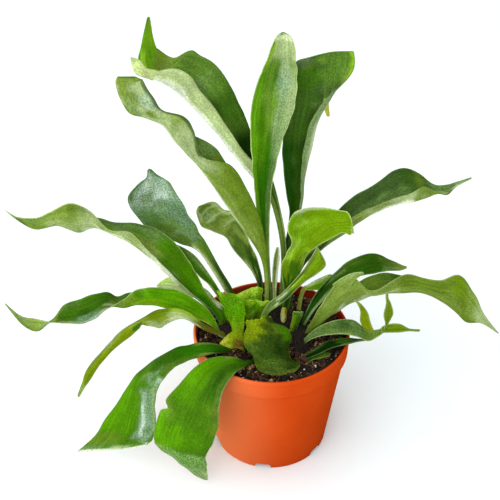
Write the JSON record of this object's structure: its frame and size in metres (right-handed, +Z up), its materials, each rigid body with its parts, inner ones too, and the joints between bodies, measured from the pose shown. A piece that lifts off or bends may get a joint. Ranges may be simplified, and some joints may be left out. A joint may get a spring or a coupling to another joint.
{
  "type": "staghorn fern in a pot",
  "caption": "Staghorn fern with long strap-shaped fertile fronds and clasping shield fronds, growing in a round plastic nursery pot of soil.",
  "frame": {"origin": "centre of the pot's flat underside, on the surface that the pot stands on", "axes": "+Z up, +X to the right and +Y away from the viewer of the front; +X is the long way of the foliage"},
  "size_m": [0.4773, 0.2138, 0.4071],
  "materials": {
    "pot_plastic": "satin",
    "soil": "rough",
    "rhizome": "rough",
    "frond": "felted satin",
    "shield_frond": "papery satin"
  },
  "bodies": {
    "root": {"pot": "pot_plastic", "soil": "soil", "rhizome": "rhizome", "frond_tall_centre": "frond", "frond_tall_right": "frond", "frond_tall_left": "frond", "frond_arching_left": "frond", "frond_left_upper": "frond", "frond_left_inner": "frond", "frond_left_silvery": "frond", "frond_back_left": "frond", "frond_left_twisted": "frond", "frond_left_drooping": "frond", "frond_front_left": "frond", "frond_front_pot": "frond", "frond_right_upper": "frond", "frond_young_wide": "frond", "frond_young_narrow": "frond", "frond_right_dark": "frond", "frond_right_long": "frond", "frond_right_forked": "frond", "frond_right_low": "frond", "frond_small_right": "frond", "frond_small_left": "frond", "frond_left_hidden": "frond", "frond_small_front": "frond", "frond_unrolling": "frond", "frond_bud": "frond", "shield_front": "shield_frond", "shield_yellow": "shield_frond", "shield_upright": "shield_frond", "shield_back": "shield_frond", "shield_middle": "shield_frond", "shield_right": "shield_frond"}
  },
  "joints": []
}
